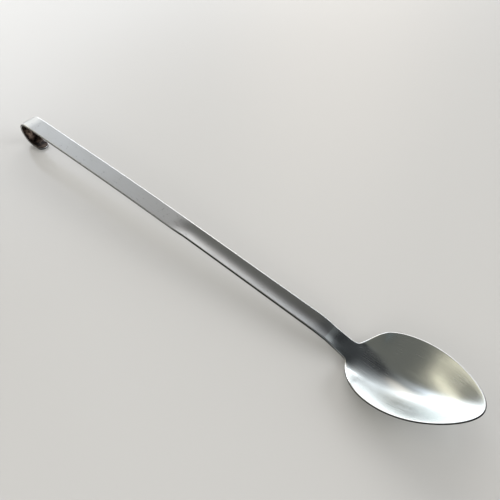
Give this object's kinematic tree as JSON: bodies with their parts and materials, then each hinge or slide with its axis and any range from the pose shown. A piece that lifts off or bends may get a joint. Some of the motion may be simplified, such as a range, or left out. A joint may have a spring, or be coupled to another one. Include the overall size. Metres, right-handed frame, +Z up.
{
  "type": "serving spoon",
  "caption": "Long-handled steel serving spoon: pointed oval bowl, strap handle fluted towards the neck and rolled into a hanging hook.",
  "frame": {"origin": "on the table under the middle of the spoon's length and width, with the spoon lying on the foot of its hook and the underside of its bowl", "axes": "+X along the spoon from the hook to the tip of the bowl, +Y across it, +Z up, out of the open side of the bowl"},
  "size_m": [0.4082, 0.0568, 0.0284],
  "materials": {
    "handle_steel": "satin brushed along the strap",
    "weld_steel": "ground flush and brushed over",
    "bowl_steel": "satin brushed in arcs along the rim"
  },
  "bodies": {
    "root": {"handle": "handle_steel", "neck_weld": "weld_steel", "bowl": "bowl_steel"}
  },
  "joints": []
}
